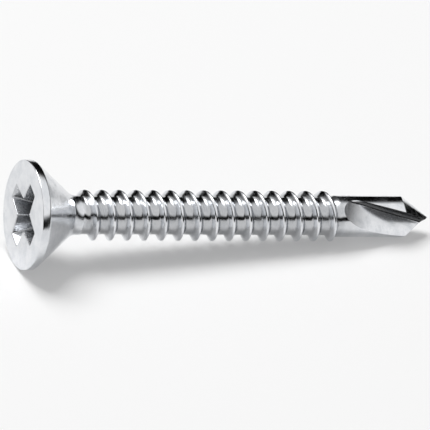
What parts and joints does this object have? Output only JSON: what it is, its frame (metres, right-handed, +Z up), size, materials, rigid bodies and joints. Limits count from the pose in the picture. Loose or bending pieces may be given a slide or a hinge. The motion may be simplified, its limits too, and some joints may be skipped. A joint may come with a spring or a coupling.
{
  "type": "self drilling screw",
  "caption": "Countersunk self drilling screw with a cross recess, a right-hand sheet metal thread and a fluted drill point, lying on its side as it rests.",
  "frame": {"origin": "bottom centre of the box of the screw as it lies: under the middle of its length, on the surface that it lies on", "axes": "+X towards the drill point, the screw's axis dipping by about 4.9 degrees to it; +Z up; the head face looks to -X"},
  "size_m": [0.0312, 0.0078, 0.0078],
  "materials": {
    "zinc_steel": "bright zinc plating on case hardened steel, forged and rolled"
  },
  "bodies": {
    "root": {"screw": "zinc_steel"}
  },
  "joints": []
}
